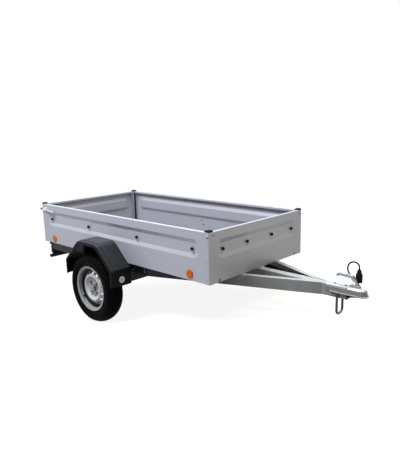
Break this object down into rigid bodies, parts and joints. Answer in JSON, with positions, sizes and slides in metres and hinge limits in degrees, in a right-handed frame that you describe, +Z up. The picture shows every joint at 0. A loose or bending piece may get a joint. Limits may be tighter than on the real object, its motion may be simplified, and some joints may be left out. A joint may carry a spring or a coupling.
{
  "type": "utility trailer",
  "caption": "Single-axle utility trailer: open sheet-metal box with a drop tailgate on a V drawbar, with ball coupling, mudguards and a fixed support leg.",
  "frame": {"origin": "on the ground under the middle of the parked trailer's length and width", "axes": "+X forward to the coupling, +Y to the left, +Z up; the trailer is parked nose down on its leg"},
  "size_m": [2.9088, 1.444, 1.0283],
  "materials": {
    "zinc_sheet": "aluzinc sheet, satin",
    "galvanised_steel": "hot-dip galvanised",
    "coupling_zinc": "zinc plated pressing",
    "plywood": "film-faced plywood",
    "black_plastic": "moulded, satin",
    "mudguard_plastic": "moulded, fine grain",
    "lamp_bar_black": "black, satin",
    "lamp_lens": "lens",
    "amber_reflector": "reflector lens",
    "cable_jacket": "satin",
    "tyre_rubber": "rubber",
    "rim_silver": "silver lacquer",
    "hub_steel": "zinc plated"
  },
  "bodies": {
    "chassis": {"axle_brackets": "galvanised_steel", "axle_tube": "galvanised_steel", "beam_end_plug": "black_plastic", "cable": "cable_jacket", "corner_caps": "black_plastic", "corner_posts": "zinc_sheet", "coupling_body": "coupling_zinc", "coupling_handle": "coupling_zinc", "cross_member_front": "galvanised_steel", "cross_member_middle": "galvanised_steel", "drawbar_beam_centre": "galvanised_steel", "drawbar_beam_left": "galvanised_steel", "drawbar_beam_right": "galvanised_steel", "floor_panel": "plywood", "front_wall": "zinc_sheet", "hinge_knuckles": "galvanised_steel", "lamp_bar": "lamp_bar_black", "latch_knobs": "black_plastic", "latch_levers": "galvanised_steel", "lens_amber_left": "amber_reflector", "lens_amber_right": "amber_reflector", "lens_red_left": "lamp_lens", "lens_red_right": "lamp_lens", "mudguard_left": "mudguard_plastic", "mudguard_right": "mudguard_plastic", "mudguard_stays": "galvanised_steel", "mudguard_washers": "galvanised_steel", "plug": "black_plastic", "plug_holder": "black_plastic", "rear_lamp_left": "black_plastic", "rear_lamp_right": "black_plastic", "rear_sill": "galvanised_steel", "side_reflectors": "amber_reflector", "side_wall_left": "zinc_sheet", "side_wall_right": "zinc_sheet", "support_leg": "galvanised_steel", "swing_arm_left": "galvanised_steel", "swing_arm_right": "galvanised_steel", "wall_knobs": "black_plastic"},
    "wheel_left": {"tyre_left": "tyre_rubber", "rim_left": "rim_silver", "hub_left": "hub_steel", "dust_cap_left": "hub_steel"},
    "wheel_right": {"tyre_right": "tyre_rubber", "rim_right": "rim_silver", "hub_right": "hub_steel", "dust_cap_right": "hub_steel"},
    "tailgate": {"tailgate": "zinc_sheet", "tailgate_knobs": "black_plastic", "hinge_leaves": "galvanised_steel", "latch_catches": "galvanised_steel"}
  },
  "joints": [
    {"name": "wheel_left_spin", "type": "hinge", "parent": "chassis", "child": "wheel_left", "pos_m": [-0.52529, 0.637, 0.281], "axis": [0, 1, 0], "continuous": true},
    {"name": "wheel_right_spin", "type": "hinge", "parent": "chassis", "child": "wheel_right", "pos_m": [-0.52529, -0.637, 0.281], "axis": [0, 1, 0], "continuous": true},
    {"name": "tailgate_hinge", "type": "hinge", "parent": "chassis", "child": "tailgate", "pos_m": [-1.42676, 0, 0.66485], "axis": [0, -1, 0], "range_deg": [0, 180]}
  ]
}
